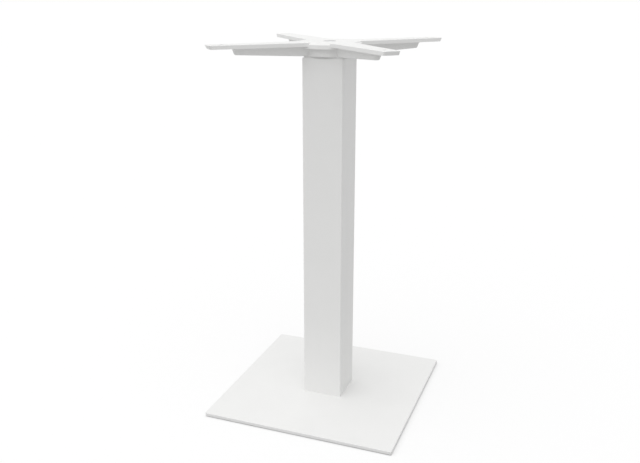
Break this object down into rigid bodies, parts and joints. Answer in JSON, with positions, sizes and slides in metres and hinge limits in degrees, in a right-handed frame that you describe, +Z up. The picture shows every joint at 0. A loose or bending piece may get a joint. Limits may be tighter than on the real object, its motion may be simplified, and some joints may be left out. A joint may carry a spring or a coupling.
{
  "type": "table base",
  "caption": "Pedestal table base: a square column on a thin square floor plate carries a cast cross-shaped spider whose ribbed arms take the screws of a table top.",
  "frame": {"origin": "on the floor under the middle of the plate, with the glides screwed right in", "axes": "+Z up along the column; the plate's sides lie along X and Y, and the front faces -Y"},
  "size_m": [0.385, 0.385, 0.722],
  "materials": {
    "white_coated_steel": "white powder coat, fine satin texture, on steel plate",
    "white_coated_aluminium": "white powder coat, fine satin texture, on extruded aluminium",
    "white_coated_casting": "white powder coat, fine satin texture, on cast aluminium",
    "zinc_plated_steel": "bright zinc plating",
    "black_nylon": "matt moulded nylon"
  },
  "bodies": {
    "frame": {"base_plate": "white_coated_steel", "column": "white_coated_aluminium", "spider": "white_coated_casting", "foot_locator": "zinc_plated_steel", "foot_screw": "zinc_plated_steel", "coupling_nut": "zinc_plated_steel", "tie_rod": "zinc_plated_steel", "top_washer": "zinc_plated_steel", "top_lock_washer": "zinc_plated_steel", "top_nut": "zinc_plated_steel"},
    "glide_front_left": {"glide_stud_front_left": "zinc_plated_steel", "glide_pad_front_left": "black_nylon"},
    "glide_front_right": {"glide_stud_front_right": "zinc_plated_steel", "glide_pad_front_right": "black_nylon"},
    "glide_back_left": {"glide_stud_back_left": "zinc_plated_steel", "glide_pad_back_left": "black_nylon"},
    "glide_back_right": {"glide_stud_back_right": "zinc_plated_steel", "glide_pad_back_right": "black_nylon"}
  },
  "joints": [
    {"name": "level_front_left", "type": "slide", "parent": "frame", "child": "glide_front_left", "axis": [0, 0, -1], "range_m": [0, 0.002]},
    {"name": "level_front_right", "type": "slide", "parent": "frame", "child": "glide_front_right", "axis": [0, 0, -1], "range_m": [0, 0.002]},
    {"name": "level_back_left", "type": "slide", "parent": "frame", "child": "glide_back_left", "axis": [0, 0, -1], "range_m": [0, 0.002]},
    {"name": "level_back_right", "type": "slide", "parent": "frame", "child": "glide_back_right", "axis": [0, 0, -1], "range_m": [0, 0.002]}
  ]
}
